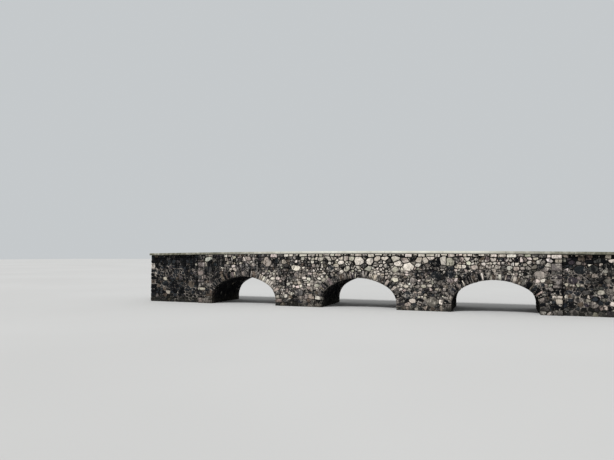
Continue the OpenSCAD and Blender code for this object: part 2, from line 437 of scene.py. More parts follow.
# The inside of an arch, darkened as painted shade: how pale, how much of its tone and of the ring's lip
# is kept, and its weather
SOFFIT_PALENESS = -0.7
SOFFIT_PAINTED_SHADE = 0.4
LIP_PAINTED_SHADE = 0.35
LIP_HEIGHT = 0.04
SOFFIT_WEATHER_AND_SHADE = (-0.8, 0.0, 0.5)
# Streaks on the same face: middle x and z, reach in x and z, and strength
WHITE_STREAKS = (
    (-8.95, 3.0, 0.35, 0.6, 1.0), (-8.1, 2.5, 0.7, 0.6, 0.8), (-6.9, 2.8, 0.5, 0.6, 0.7),
    (-5.95, 1.5, 0.5, 0.8, 1.0), (-11.2, 2.2, 0.3, 1.0, 0.6), (-7.0, 2.7, 4.0, 0.8, 0.5),
    (0.1, 2.3, 0.5, 0.4, 0.9), (-4.6, 1.5, 0.9, 0.6, 0.6), (3.6, 1.5, 1.6, 0.5, 0.5),
)
# The dark ones are partly dirt and partly painted shade: narrow ones at x 0.45, 1.95 and 3.45 darken
# open upright joints, those at -10.4 and from 10.2 on darken shaded wall
DARK_STREAKS_AND_SHADE = (
    (0.45, 2.8, 0.13, 0.6, 1.0), (1.95, 2.9, 0.11, 0.6, 1.0), (3.45, 3.2, 0.11, 0.5, 1.0),
    (-2.1, 2.7, 0.2, 0.6, 0.8), (4.9, 2.4, 0.5, 0.7, 0.7), (-10.4, 2.4, 0.6, 0.8, 0.7),
    (-6.5, 2.6, 0.45, 0.6, 0.6), (-4.9, 2.5, 0.35, 0.6, 0.5), (-8.1, 2.2, 0.9, 0.3, 0.4),
    (-2.9, 2.7, 0.8, 0.5, 0.25), (-5.5, 2.6, 0.5, 0.5, 0.3), (10.2, 2.45, 1.2, 0.4, 0.9),
    (10.8, 3.0, 0.8, 0.4, 0.3), (8.2, 2.4, 0.8, 0.3, 0.4), (13.6, 2.3, 1.3, 0.7, 0.6),
)


def patched(x, z, patches, start=0.0):
    """A start value with the strength of every patch at that place added."""
    return sum((amount * math.exp(-((x - px) / rx) ** 2 - ((z - pz) / rz) ** 2)
                for px, pz, rx, rz, amount in patches), start)


def paleness(x, z):
    """How pale the photographed face is at a place, from about -1, dark, to 1, pale."""
    start = MAIN_PALENESS if abs(x) < MAIN_HALF else END_PALENESS[int(math.copysign(1, x))]
    drift = sum(math.sin(along * x + up * z + phase) for along, up, phase in DRIFT_WAVES)
    return patched(x, z, PALE_PATCHES, start) + DRIFT * drift


def tone_at(rng, pale):
    """The tone of one stone, by chance, where the wall is that pale."""
    pale = min(max(pale + rng.normal(0, 0.16), -1), 1)
    target = PALE_WEIGHTS if pale > 0 else DARK_WEIGHTS
    weights = MID_WEIGHTS + (target - MID_WEIGHTS) * abs(pale)
    tone = TONES[rng.choice(len(TONES), p=weights / weights.sum())]
    tone = tone * rng.uniform(0.8, 1.2) * (1 + rng.normal(0, 0.025, 3))
    return tone * min(PALEST / tone.max(), 1.0)


def finish_at(rng, x, z, side, shift=0.0):
    """Tone and weather of a stone on the outside of the bridge: how pale the place is, and the strength
    of its white and dark streaks, with painted shade in the paleness and the dark streaks. The far face
    weathers like the near one, mirrored."""
    x = x if side < 0 else -x
    pale = paleness(x, z) + shift
    white, dark = (min(patched(x, z, streaks), 1.0) for streaks in (WHITE_STREAKS, DARK_STREAKS_AND_SHADE))
    weather = (min(max(0.42 + 0.5 * pale, 0.0), 1.0), white, dark)
    tone = tone_at(rng, pale)
    off = np.hypot(LANDMARK_PLACES[:, 0] - x, LANDMARK_PLACES[:, 1] - z) / LANDMARK_PLACES[:, 2]
    if side < 0 and off.min() < 0.4:
        tone = np.array(STONE_TONES[LANDMARKS[off.argmin()][3]])
    return tone, weather


# Shader nodes

def new_material(name):
    """A dull material, its shader, and the space that its patterns lie in."""
    material = bpy.data.materials.new(name)
    material.use_nodes = True
    nodes = material.node_tree.nodes
    shader = nodes["Principled BSDF"]
    shader.inputs["Specular IOR Level"].default_value = 0.04
    return material, shader, nodes.new("ShaderNodeTexCoord").outputs["Object"]


def add_node(kind, settings=None, **inputs):
    """A node with its settings and inputs, in the tree that its first linked input comes from. Inputs
    that share a name go by their number, as in0."""
    linked = next(value for value in inputs.values() if isinstance(value, bpy.types.NodeSocket))
    made = linked.id_data.nodes.new(kind)
    for key, value in (settings or {}).items():
        setattr(made, key, value)
    for key, value in inputs.items():
        name = int(key[2:]) if key[2:].isdigit() else key.replace("_", " ")
        connect(made.inputs[name], value)
    return made


def connect(socket, value):
    """Links an output to a socket, or sets the socket to a value."""
    if isinstance(value, bpy.types.NodeSocket):
        socket.id_data.links.new(value, socket)
    elif socket.type == "RGBA":
        socket.default_value = (*value, 1.0)
    else:
        socket.default_value = value


def noise(vector, scale, detail, roughness=0.6, distortion=0.0):
    made = add_node("ShaderNodeTexNoise", Vector=vector, Scale=scale, Detail=detail,
                    Roughness=roughness, Distortion=distortion)
    return made.outputs["Fac"]


def ramp(value, low, high, out_low=0.0, out_high=1.0):
    """A smooth step of value from low to high, rescaled to the two outputs."""
    made = add_node("ShaderNodeMapRange", {"interpolation_type": "SMOOTHSTEP"}, Value=value,
                    From_Min=low, From_Max=high, To_Min=out_low, To_Max=out_high)
    return made.outputs["Result"]


def math_node(kind, a, b):
    return add_node("ShaderNodeMath", {"operation": kind}, in0=a, in1=b).outputs[0]


def times(a, b):
    return math_node("MULTIPLY", a, b)


def along_axis(vector, axis):
    return add_node("ShaderNodeSeparateXYZ", Vector=vector).outputs[axis]


def mix(share, a, b, kind="MIX"):
    settings = {"data_type": "RGBA", "blend_type": kind}
    return add_node("ShaderNodeMix", settings, in0=share, in6=a, in7=b).outputs[2]


def stretched(vector, scale):
    return add_node("ShaderNodeMapping", Vector=vector, Scale=scale).outputs["Vector"]


def shaded(colour, value, low, high):
    """The colour times a grey that goes from low to high as value goes from 0.3 to 0.7."""
    level = ramp(value, 0.3, 0.7, low, high)
    grey = add_node("ShaderNodeCombineColor", Red=level, Green=level, Blue=level).outputs["Color"]
    return mix(1.0, colour, grey, "MULTIPLY")


def dress(shader, colour, roughness, height=None, strength=0.0, distance=0.0):
    """Puts colour, roughness and, where a height is given, a bump on the shader."""
    connect(shader.inputs["Base Color"], colour)
    connect(shader.inputs["Roughness"], roughness)
    if height is not None:
        made = add_node("ShaderNodeBump", Height=height, Strength=strength, Distance=distance)
        connect(shader.inputs["Normal"], made.outputs["Normal"])


def damp_foot(space, colour):
    """Darker and a little brown where the masonry stands in the wet."""
    ragged = math_node("ADD", along_axis(space, "Z"), times(noise(space, 1.7, 5.0), -0.9))
    wet = ramp(ragged, -0.45, 0.2, 0.6, 0.0)
    return mix(wet, colour, (0.030, 0.029, 0.023))


def limed(space):
    """Where lime mortar still shows in the joints: mostly low on the wall, and in patches above."""
    patches = noise(space, 1.1, 5.0, 0.7)
    lower = ramp(along_axis(space, "Z"), 2.1, 2.9, 0.04, -0.08)
    level = math_node("ADD", patches, lower)
    crumbs = ramp(noise(space, 13.0, 6.0, 0.7), 0.42, 0.56)
    return times(ramp(level, 0.50, 0.62), crumbs)


LIME = (0.41, 0.365, 0.325)


def crusts(space, colour, lichen, strength):
    """Pale lichen and limewash, then black algae, in blotches that run across stones and joints."""
    blotch = noise(space, 5.6, 10.0, 0.74, 0.15)
    level = math_node("ADD", blotch, times(lichen, 0.15))
    pale = times(ramp(level, 0.60, 0.68), strength)
    crumbs = ramp(noise(space, 15.0, 6.0, 0.7), 0.36, 0.62)
    crust = mix(crumbs, (0.325, 0.296, 0.26), (0.81, 0.738, 0.648))
    colour = mix(times(pale, 0.85), colour, crust)
    algae = noise(stretched(space, (1.3, 1.3, 0.6)), 3.6, 9.0, 0.74, 0.3)
    level = math_node("SUBTRACT", algae, times(lichen, 0.075))
    black = times(ramp(level, 0.48, 0.55), 0.85 * strength)
    return mix(black, colour, (0.008, 0.0085, 0.010))


def stone_material():
    """Fieldstone: its own tone, grain, mortar on its rim, crusts, and streaks down the wall, the dark
    ones partly painted shade.
    """
    material, shader, space = new_material("fieldstone")
    tone, attribute = (material.node_tree.nodes.new("ShaderNodeAttribute") for _ in range(2))
    tone.attribute_name, attribute.attribute_name = "tone", "weather"
    weather = add_node("ShaderNodeSeparateColor", Color=attribute.outputs["Color"]).outputs
    grain = noise(space, 46.0, 8.0, 0.7)
    mottle = noise(space, 9.0, 6.0, 0.68, 0.4)
    colour = shaded(tone.outputs["Color"], grain, 0.7, 1.22)
    colour = shaded(colour, mottle, 0.58, 1.28)
    rust = ramp(noise(space, 4.4, 6.0, 0.7, 0.9), 0.60, 0.7)
    colour = mix(times(rust, 0.35), colour, (0.20, 0.135, 0.08))
    clinging = times(limed(space), attribute.outputs["Alpha"])
    exposed = ramp(weather["Red"], -0.5, 0.0)
    colour = mix(times(clinging, exposed), colour, LIME)
    colour = crusts(space, colour, weather["Red"], 1.0)
    runs = noise(stretched(space, (8.0, 8.0, 0.7)), 1.0, 6.0, 0.62)
    white = times(ramp(runs, 0.52, 0.61), weather["Green"])
    colour = mix(times(white, 0.72), colour, (0.57, 0.53, 0.49))
    # Dark runs down the wall, partly dirt and partly painted shade of joints and leaves
    runs = noise(stretched(space, (6.0, 6.0, 0.4)), 1.0, 4.0, 0.6)
    dark = times(ramp(runs, 0.32, 0.48), weather["Blue"])
    colour = mix(times(dark, 0.88), colour, (0.006, 0.0065, 0.007))
    colour = damp_foot(space, colour)
    roughness = ramp(grain, 0.3, 0.7, 0.78, 0.96)
    dress(shader, colour, roughness, math_node("ADD", grain, mottle), 0.8, 0.014)
    return material


def mortar_material():
    """Old mortar, near black with moss, and with the shade of the deep joints painted in. On the two
    long faces lime still shows in places, and the crusts of the stones run on over it, most of all low
    down."""
    material, shader, space = new_material("old_mortar")
    patches = noise(space, 1.6, 7.0, 0.7)
    grain = noise(space, 70.0, 6.0, 0.7)
    # Darker than real mortar: dark joints with their painted shade
    colour = mix(ramp(patches, 0.42, 0.70), (0.004, 0.004, 0.0045), (0.030, 0.028, 0.024))
    geometry = material.node_tree.nodes.new("ShaderNodeNewGeometry")
    across = along_axis(geometry.outputs["Normal"], "Y")
    exposed = ramp(times(across, across), 0.1, 0.4)
    colour = mix(times(limed(space), exposed), colour, LIME)
    colour = shaded(colour, grain, 0.6, 1.4)
    crusted = ramp(along_axis(space, "Z"), 2.2, 2.9, 0.4, 0.1)
    # Off the two long faces, under the arches most of all, more black and less pale crust: partly
    # algae, partly painted shade
    shelter_and_shade = ramp(exposed, 0.0, 1.0, -1.0, crusted)
    colour = crusts(space, colour, shelter_and_shade, 0.7)
    colour = damp_foot(space, colour)
    dress(shader, colour, 0.96, grain, 0.6, 0.008)
    return material


def coping_material():
    """Pale weathered coping with grey lichen and dark growth, mossy towards the west end, and darkened
    towards the east end as painted shade of leaves.
    """
    material, shader, space = new_material("pale_coping")
    cloud = noise(space, 0.9, 6.0, 0.65)
    grain = noise(space, 60.0, 8.0, 0.72)
    colour = mix(ramp(cloud, 0.35, 0.65), (0.63, 0.615, 0.53), (0.80, 0.79, 0.70))
    spots = ramp(noise(space, 5.5, 10.0, 0.75, 0.8), 0.55, 0.65)
    colour = mix(times(spots, 0.45), colour, (0.27, 0.265, 0.225))
    black = ramp(noise(space, 15.0, 8.0, 0.7, 0.4), 0.61, 0.69)
    colour = mix(times(black, 0.7), colour, (0.07, 0.07, 0.064))
    along = along_axis(space, "X")
    west_moss = ramp(along, -12.0, -1.5, 1.05, 0.0)
    east_leaf_shade = ramp(along, 5.0, 12.5, 0.0, 1.0)
    cushions = ramp(noise(space, 2.2, 8.0, 0.7), 0.30, 0.56, 0.35, 0.95)
    # moss holds the west moss and the east painted shade of leaves
    moss = times(math_node("ADD", west_moss, east_leaf_shade), cushions)
    tufts = ramp(noise(space, 7.0, 9.0, 0.75, 0.5), 0.36, 0.62)
    colour = mix(moss, colour, mix(tufts, (0.075, 0.078, 0.052), (0.215, 0.205, 0.155)))
    colour = shaded(colour, grain, 0.78, 1.18)
    dress(shader, colour, 0.88, grain, 0.5, 0.008)
    return material


def gravel_material():
    """Rolled gravel of mixed pebbles."""
    material, shader, space = new_material("road_gravel")
    pebbles = add_node("ShaderNodeTexVoronoi", Vector=space, Scale=34.0)
    hue = add_node("ShaderNodeSeparateColor", Color=pebbles.outputs["Color"]).outputs["Red"]
    cloud = noise(space, 1.1, 6.0, 0.6)
    colour = mix(ramp(hue, 0.0, 1.0), (0.15, 0.13, 0.105), (0.34, 0.315, 0.27))
    colour = shaded(colour, cloud, 0.78, 1.2)
    gap = ramp(pebbles.outputs["Distance"], 0.25, 0.75, 0.0, 0.75)
    colour = mix(gap, colour, (0.08, 0.068, 0.052))
    dress(shader, colour, 0.95, times(pebbles.outputs["Distance"], -1.0), 0.8, 0.02)
    return material


def earth_material():
    """Rammed earth in thin beds."""
    material, shader, space = new_material("packed_earth")
    layers = noise(stretched(space, (1.2, 1.2, 7.0)), 1.0, 7.0, 0.65)
    grain = noise(space, 38.0, 8.0, 0.7)
    colour = mix(ramp(layers, 0.35, 0.65), (0.06, 0.048, 0.035), (0.13, 0.105, 0.078))
    colour = shaded(colour, grain, 0.7, 1.3)
    dress(shader, colour, 0.97, grain, 0.8, 0.02)
    return material


MATERIALS = {
    "stone": stone_material(), "mortar": mortar_material(), "coping": coping_material(),
    "gravel": gravel_material(), "earth": earth_material(),
}


def piece(name, heap, slot, *materials, stands_for=()):
    """One object from a heap, on the bridge's only body. Only its first material is smooth."""
    mesh = bpy.data.meshes.new(name)
    mesh.from_pydata(np.vstack(heap.points).tolist(), [], heap.faces)
    edges = np.concatenate(heap.edges)[:, None]
    for label, rows in (("tone", heap.tones), ("weather", heap.weather)):
        colours = np.hstack([np.vstack(rows), edges])
        layer = mesh.color_attributes.new(label, "FLOAT_COLOR", "POINT")
        layer.data.foreach_set("color", colours.astype(np.float32).ravel())
    for material in materials:
        mesh.materials.append(MATERIALS[material])
    mesh.polygons.foreach_set("material_index", heap.slots)
    mesh.polygons.foreach_set("use_smooth", [slot == 0 for slot in heap.slots])
    mesh.update()
    made = bpy.data.objects.new(name, mesh)
    bpy.context.scene.collection.objects.link(made)
    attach(made, "root")
    if stands_for:
        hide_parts(*stands_for)


# Blocks: larger stones with all their sides, for rings, jambs and corners

def block_template(marks):
    """Points and faces of a cube's surface from -1 to 1, with a grid at these marks."""
    steps = len(marks) - 1
    index, faces = {}, []
    for axis, end, i, j in itertools.product(range(3), (0, steps), range(steps), range(steps)):
        corners = []
        for di, dj in ((0, 0), (1, 0), (1, 1), (0, 1)):
            key = tuple(np.roll((end, i + di, j + dj), axis))
            corners.append(index.setdefault(key, len(index)))
        faces.append(tuple(corners) if end else tuple(reversed(corners)))
    return np.array([[marks[k] for k in key] for key in index]), faces


BLOCK_POINTS, BLOCK_FACES = block_template((-1.0, -0.8, 0.0, 0.8, 1.0))
BLOCK_EDGE = 0.8 * ((np.abs(BLOCK_POINTS) > 0.99).sum(1) > 1)


def worn_block(rng, half_sizes, wear=ARCH_WEAR, rough=ARCH_ROUGH):
    """A block's points from -1 to 1 each way, with its edges worn to a radius and its faces uneven."""
    half_sizes = np.asarray(half_sizes)
    radius = np.minimum(wear / half_sizes, 0.6)
    core = np.clip(BLOCK_POINTS, radius - 1, 1 - radius)
    out = (BLOCK_POINTS - core) / radius
    length = np.linalg.norm(out, axis=1, keepdims=True)
    shape = core + radius * out / np.maximum(length, 1)
    uneven = np.abs(np.sin(shape @ rng.normal(0, 1.6, (3, 3)) + rng.uniform(0, 6.3, 3)))
    return shape * (1 - uneven * rough / half_sizes)


def ring_joints():
    """Places of the ring's joints along the soffit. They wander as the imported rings' joints do."""
    from_key = np.arange(RING_STONES + 1) - RING_STONES / 2
    wander = RING_WANDER * np.sign(from_key) * np.sin(np.radians(WANDER_STEP * np.abs(from_key)))
    wander[[0, -1]] = 0.0
    return 2 * ring_half_arc * (from_key + wander) / RING_STONES


def arch_plan(rng):
    """Blocks round one arch: where each starts and ends along the soffit, its length outward from it,
    and its depth into the wall. The ring comes first, then the corner stones of both jambs."""
    joints = ring_joints()
    plan = []
    for low, high in zip(joints[:-1], joints[1:]):
        plan.append((low, high, rng.uniform(*RING_LENGTHS), RING_DEPTH))
    beds = np.linspace(ring_half_arc, foot_arc, JAMB_STONES + 1)
    for jamb in (-1, 1):
        for k in range(JAMB_STONES):
            low, high = sorted((jamb * beds[k], jamb * beds[k + 1]))
            length = JAMB_LENGTHS[(k + (jamb > 0)) % 2] * rng.uniform(0.9, 1.1)
            plan.append((low, high, length, JAMB_DEPTH))
    return plan


def arch_outlines(plan, shift):
    """Convex outlines that keep rubble off the opening, the shortest ring and each block."""
    opening = np.stack(arch_point(np.linspace(-foot_arc - 0.2, foot_arc + 0.2, 61), 0.0), 1)
    arcs = np.append(np.linspace(-ring_half_arc, ring_half_arc, 41), (ring_half_arc, -ring_half_arc))
    ring = np.stack(arch_point(arcs, np.append(np.full(41, RING_LENGTHS[0]), (0, 0))), 1)
    outlines = [opening, ring]
    for low, high, length, _ in plan:
        corners = arch_point((low, high, high, low), np.array((0, 0, length, length)))
        outlines.append(np.stack(corners, 1))
    return [outline + (shift, 0) for outline in outlines]


def lay_arch(side, sign, place_name, centre, plan, seed):
    """The worn blocks of one ring and its jambs, on one face of the bridge."""
    heap = Heap(seed)
    rng = heap.rng
    for low, high, length, depth in plan:
        proud = rng.uniform(*ARCH_PROUD)
        half = ((high - low) / 2, length / 2, depth / 2)
        shape = worn_block(rng, half)
        lean = rng.normal(0, 0.006)
        arc = (low + high) / 2 + shape[:, 0] * (half[0] - JOINT / 2) + lean * shape[:, 1]
        arc = np.clip(arc, -foot_arc, foot_arc)
        offset = -ARCH_LIP + (shape[:, 1] + 1) / 2 * (length + ARCH_LIP - JOINT / 2)
        x, z = arch_point(arc, offset)
        y = FACE + proud - (1 - shape[:, 2]) / 2 * depth
        points = np.stack([centre - sign * x, sign * y, z], 1)
        middle_x, middle_z = map(float, arch_point((low + high) / 2, length / 2))
        tone, weather = finish_at(rng, centre - sign * middle_x, middle_z, sign, PALER["ring"])
        # The lowest part of each ring stone, under the arch, is dimmed as painted shade
        lip_shade = np.where(offset < LIP_HEIGHT, LIP_PAINTED_SHADE, 1.0)[:, None]
        heap.add(points, BLOCK_FACES, tone * lip_shade, weather, BLOCK_EDGE)
    piece(f"{side}_{place_name}_ring_stones", heap, "arch_stone", "stone")


def corner_stack(heap, x_out, end, y_out, sign, reach, top, shift):
    """Corner stones from the floor to the coping, long and short by turns. It returns their outlines
    on the side face as x and z. At the bridge's ends, those above the road go through the parapet."""
    rng = heap.rng
    count = round(top / CORNER_HEIGHT)
    beds = np.linspace(FLOOR_GAP, top, count + 1)
    beds[1:-1] += rng.uniform(-CORNER_SWAY, CORNER_SWAY, count - 1)
    outlines = []
    for k in range(count):
        width = CORNER_WIDTHS[k % 2] * rng.uniform(0.85, 1.15)
        through = beds[k] > ROAD_BASE - 0.1 and x_out > MAIN_HALF + 1
        depth = y_out - ROAD_HALF + 2 * PROUD if through else reach
        middle_z = (beds[k] + beds[k + 1]) / 2
        tone, weather = finish_at(rng, end * (x_out - width / 2), middle_z, sign, shift)
        low = np.array((end * (x_out - width), sign * (y_out - depth), beds[k] + JOINT / 2))
        high = np.array((end * x_out, sign * y_out, beds[k + 1] - JOINT / 2))
        high[:2] -= rng.uniform(0, 0.012, 2) * (end, sign)
        half = np.abs(high - low) / 2
        shape = worn_block(rng, half, CORNER_WEAR, CORNER_ROUGH)
        heap.add((low + high) / 2 + shape * half, BLOCK_FACES, tone, weather, BLOCK_EDGE)
        x0, x1 = sorted((low[0], end * x_out))
        outlines.append(np.array(rectangle(x0, beds[k], x1, beds[k + 1])))
    return outlines


# Outside faces

def upright(y, sign):
    """Places u, v and height on an upright wall that looks along -Y (sign -1) or +Y (sign 1)."""
    def place(u, v, height):
        return np.stack([-sign * u, sign * (y + height), v], 1)
    return place


def mirrored(outlines, sign):
    """Outlines in x and z, as u and v of a wall that looks along -Y (sign -1) or +Y (sign 1)."""
    return [outline * (-sign, 1) for outline in outlines]


def bed_course(rng, low, high):
    """Outlines, in u and v, of flat stones of uneven height that level the wall up to its coping."""
    outlines = []
    u = low
    while u < high - 0.05:
        end = min(u + rng.uniform(*BED_LENGTHS), high)
        if high - end < 0.15:
            end = high
        top = under_coping(abs(u + end) / 2)
        base = top - rng.uniform(*BED_HEIGHTS) + rng.uniform(-BED_SLANT, BED_SLANT, 2)
        outlines.append(np.array([(u, base[0]), (end, base[1]), (end, top), (u, top)]))
        u = end
    return outlines


def shrunk(outline):
    """A quadrilateral with its corners moved in by half a joint."""
    return outline - np.sign(outline - outline.mean(0)) * (JOINT / 2)


def wall_stones(heap, cells, place, sign, shift=0.0):
    """Stones on their cells. The paler the wall, the wider its joints are raked out."""
    for cell in cells:
        middle = cell.mean(0)
        tone, weather = finish_at(heap.rng, -sign * middle[0], middle[1], sign, shift)
        spoke = cell - middle
        gap = RAKED * max(2 * weather[0] - 1, 0)
        share = 1 - gap / np.linalg.norm(spoke, axis=1, keepdims=True)
        lay_stone(heap, middle + spoke * share, place, tone, weather)


def top_edge(stack, sign):
    """Where the top stone of a corner stack ends on its side face, as u."""
    return -sign * min(stack[-1][:, 0], key=abs)


def rubble_face(heap, place, sign, low, high, bed_ends, blocked, placed=()):
    """Rubble from low to high along a wall, under a levelling course that keeps to its own ends."""
    first, last = sorted(bed_ends)
    beds = [np.clip(bed, (first, 0), (last, COPING_BASE)) for bed in bed_course(heap.rng, low, high)]
    beds = [bed for bed in beds if np.ptp(bed[:, 0]) > SHORTEST_BED]
    cells = rubble_cells(heap.rng, (low, FLOOR_GAP), (high, COPING_BASE), FACE_RUBBLE, blocked + beds,
                         under_coping, placed)
    wall_stones(heap, cells, place, sign)
    wall_stones(heap, [shrunk(bed) for bed in beds], place, sign, PALER["bed"])


def main_face(side, sign, plans, seed):
    """The rubble and corner stones of one long face, with its levelling course."""
    heap = Heap(seed)
    blocked, bed_ends = [], []
    for (_, centre), plan in zip(ARCHES, plans):
        blocked += arch_outlines(plan, -sign * centre)
    tail = FACE - APPROACH_FACE + CORNER_TAIL
    for _, end in ENDS:
        stack = corner_stack(heap, MAIN_HALF + CORNER_OUT, end, FACE + CORNER_PROUD, sign, tail,
                             under_coping(MAIN_HALF), PALER["corner"])
        blocked += mirrored(stack, sign)
        bed_ends.append(top_edge(stack, sign))
    placed = [mark[:3] for mark in LANDMARKS] if sign < 0 else ()
    reach = MAIN_HALF - CORNER_STOP
    rubble_face(heap, upright(FACE, sign), sign, -reach, reach, bed_ends, blocked, placed)
    piece(f"{side}_wall_stones", heap, "rubble_masonry", "stone")


# Soffits and jambs inside the arches

def soffit(place_name, centre, seed):
    """Courses of stones laid along the barrel, and the jambs under them down to the floor."""
    heap = Heap(seed)
    rng = heap.rng
    jamb_half = FACE - JAMB_DEPTH

    def place(u, v, height):
        x, z = arch_point(u, -height)
        return np.stack([x + centre, -v, z], 1)

    cells = rubble_cells(rng, (-ring_half_arc, -ROAD_HALF), (ring_half_arc, ROAD_HALF), SOFFIT_RUBBLE)
    for start, end in ((ring_half_arc, foot_arc), (-foot_arc, -ring_half_arc)):
        cells += rubble_cells(rng, (start, -jamb_half), (end, jamb_half), JAMB_RUBBLE)
    for cell in cells:
        # Soffit stones get dark tones, dimmed again, as painted shade under the arch
        tone = tone_at(rng, SOFFIT_PALENESS) * SOFFIT_PAINTED_SHADE
        lay_stone(heap, cell, place, tone, SOFFIT_WEATHER_AND_SHADE, SOFFIT_PROUD)
    piece(f"{place_name}_soffit_stones", heap, "arch_stone", "stone")


# Approach walls, with their ends squared off where the road runs on

def add_loft(heap, rings, slot=0, flipped=False):
    """A closed solid through rings of points, with both ends capped."""
    count = len(rings[0])
    faces = []
    for a in range(0, (len(rings) - 1) * count, count):
        b = a + count
        faces += [(a + i, b + i, b + (i + 1) % count, a + (i + 1) % count) for i in range(count)]
    faces += [tuple(range(count)), tuple(b + i for i in reversed(range(count)))]
    heap.add(np.vstack(rings), [face[::-1] for face in faces] if flipped else faces, slot=slot)


def add_core(heap, x_range, y_range, base, tops):
    """Mortar or earth behind the stones, from its base to its tops at places along the bridge."""
    y0, y1 = sorted(y_range)
    rings = [np.array([(x, y0, base), (x, y0, top), (x, y1, top), (x, y1, base)])
             for x, top in zip(x_range, tops)]
    add_loft(heap, rings, 1)


def end_wall(heap, end, y_range, size):
    """Stones on an end wall that looks along X, between two places in y and up to the road."""
    def place(u, v, height):
        return np.stack([end * (HALF_LENGTH - END_RECESS + height), end * u, v], 1)

    low, high = sorted((end * y_range[0], end * y_range[1]))
    for cell in rubble_cells(heap.rng, (low, FLOOR_GAP), (high, ROAD_BASE - 0.005), size):
        u, v = cell.mean(0)
        lay_stone(heap, cell, place, *finish_at(heap.rng, end * HALF_LENGTH, v, -1, PALER["end"]))


def approach(side, sign, end_name, end, seed):
    """One approach wall: mortar core, rubble on its face and end, and a stack of corner stones. It
    returns the outlines of the corner stones, as x and z."""
    heap = Heap(seed)
    face_y = sign * APPROACH_FACE
    core_x = sorted((end * MAIN_HALF, end * (HALF_LENGTH - END_RECESS)))
    add_core(heap, core_x, (sign * APPROACH_BASE, face_y), 0, (ROAD_BASE, ROAD_BASE))
    core_x = np.unique(np.clip(camber_x, *core_x))
    add_core(heap, core_x, (sign * ROAD_HALF, face_y), ROAD_BASE, COPING_BASE + fall(core_x))
    stack = corner_stack(heap, HALF_LENGTH - 0.008, end, APPROACH_FACE + CORNER_PROUD, sign,
                         CORNER_DEPTH, under_coping(HALF_LENGTH), PALER["end_corner"])
    start_u = -sign * end * (MAIN_HALF + SET_BACK)
    low, high = sorted((start_u, -sign * end * (HALF_LENGTH - CORNER_STOP)))
    rubble_face(heap, upright(APPROACH_FACE, sign), sign, low, high,
                (start_u, top_edge(stack, sign)), mirrored(stack, sign))
    corner_y = APPROACH_FACE + 0.02 - CORNER_DEPTH
    end_wall(heap, end, (sign * APPROACH_BASE, sign * corner_y), END_RUBBLE)
    piece(f"{side}_{end_name}_approach_stones", heap, "rubble_masonry", "stone", "mortar",
          stands_for=(f"{side}_{end_name}_approach_wall",))
    return stack


def end_face(end_name, end, seed):
    """The fill that shows at the end of the bridge, held by rough stones."""
    heap = Heap(seed)
    core_x = sorted((end * MAIN_HALF, end * (HALF_LENGTH - END_RECESS)))
    add_core(heap, core_x, (-FILL_HALF, FILL_HALF), 0, (ROAD_BASE, ROAD_BASE))
    end_wall(heap, end, (-FILL_HALF + 0.01, FILL_HALF - 0.01), FILL_RUBBLE)
    piece(f"{end_name}_end_face", heap, "earth_fill", "stone", "earth",
          stands_for=(f"{end_name}_approach_fill",))


# Parapets, seen from the road

def parapet_inside(side, sign, corner_stones, seed):
    """Rubble between the corner stones that go through the parapet at both ends."""
    heap = Heap(seed)
    place = upright(-ROAD_HALF, -sign)
    low = (-HALF_LENGTH + CORNER_STOP, ROAD_TOP - CAMBER - 0.05)
    high = (HALF_LENGTH - CORNER_STOP, COPING_BASE)
    blocked = mirrored(corner_stones, -sign)
    for cell in rubble_cells(heap.rng, low, high, PARAPET_RUBBLE, blocked, under_coping):
        u, v = cell.mean(0)
        lay_stone(heap, cell, place, *finish_at(heap.rng, sign * u, v, sign, PALER["parapet"]))
    piece(f"{side}_parapet_inner_stones", heap, "rubble_masonry", "stone")


# Coping

def coping(side, sign, seed):
    """Lengths of coping with worn edges, each straight and laid to the camber."""
    heap = Heap(seed)
    half = (COPING_OUT - COPING_IN) / 2
    thick = COPING_TOP - COPING_BASE
    rise = [(half, 0), (half, thick * 0.45), (half, thick - COPING_BEVEL),
            (half - COPING_BEVEL, thick), (half * 0.5, thick)]
    section = np.array([(-out, up) for out, up in rise] + [(0, thick)] + rise[::-1] + [(0, 0)])
    middle_y = (COPING_OUT + COPING_IN) / 2
    count = len(section)
    for x0, x1 in zip(camber_x[:-1], camber_x[1:]):
        low = x0 + (COPING_JOINT / 2 if x0 > -HALF_LENGTH else 0)
        high = x1 - (COPING_JOINT / 2 if x1 < HALF_LENGTH else 0)
        phase = heap.rng.uniform(0, 6.3, (count, 3))
        rings = []
        for k, x in enumerate(np.linspace(low, high, COPING_STATIONS)):
            z = COPING_BASE + fall(x)
            worn = 1.5 + np.sin(9 * x + phase[:, 0]) + 0.5 * np.sin(31 * x + phase[:, 1])
            worn = 1.0 - 0.0035 * worn
            chip = np.sin(13.7 * x + phase[:, 2]) * np.sin(5.1 * x + phase[:, 1])
            chip = np.maximum(0, chip - 0.86) * 0.10
            end_wear = 0.006 if k in (0, COPING_STATIONS - 1) else 0.0
            out = section[:, 0] * (worn - chip) * (1 - end_wear / half)
            up = np.maximum(section[:, 1] * (worn - 0.4 * chip) - end_wear, 0)
            rings.append(np.stack([np.full(count, x), sign * (middle_y + out), z + up], 1))
        add_loft(heap, rings, flipped=sign < 0)
    piece(f"{side}_coping_lengths", heap, "coping_stone", "coping", stands_for=(f"{side}_coping",))


# Road

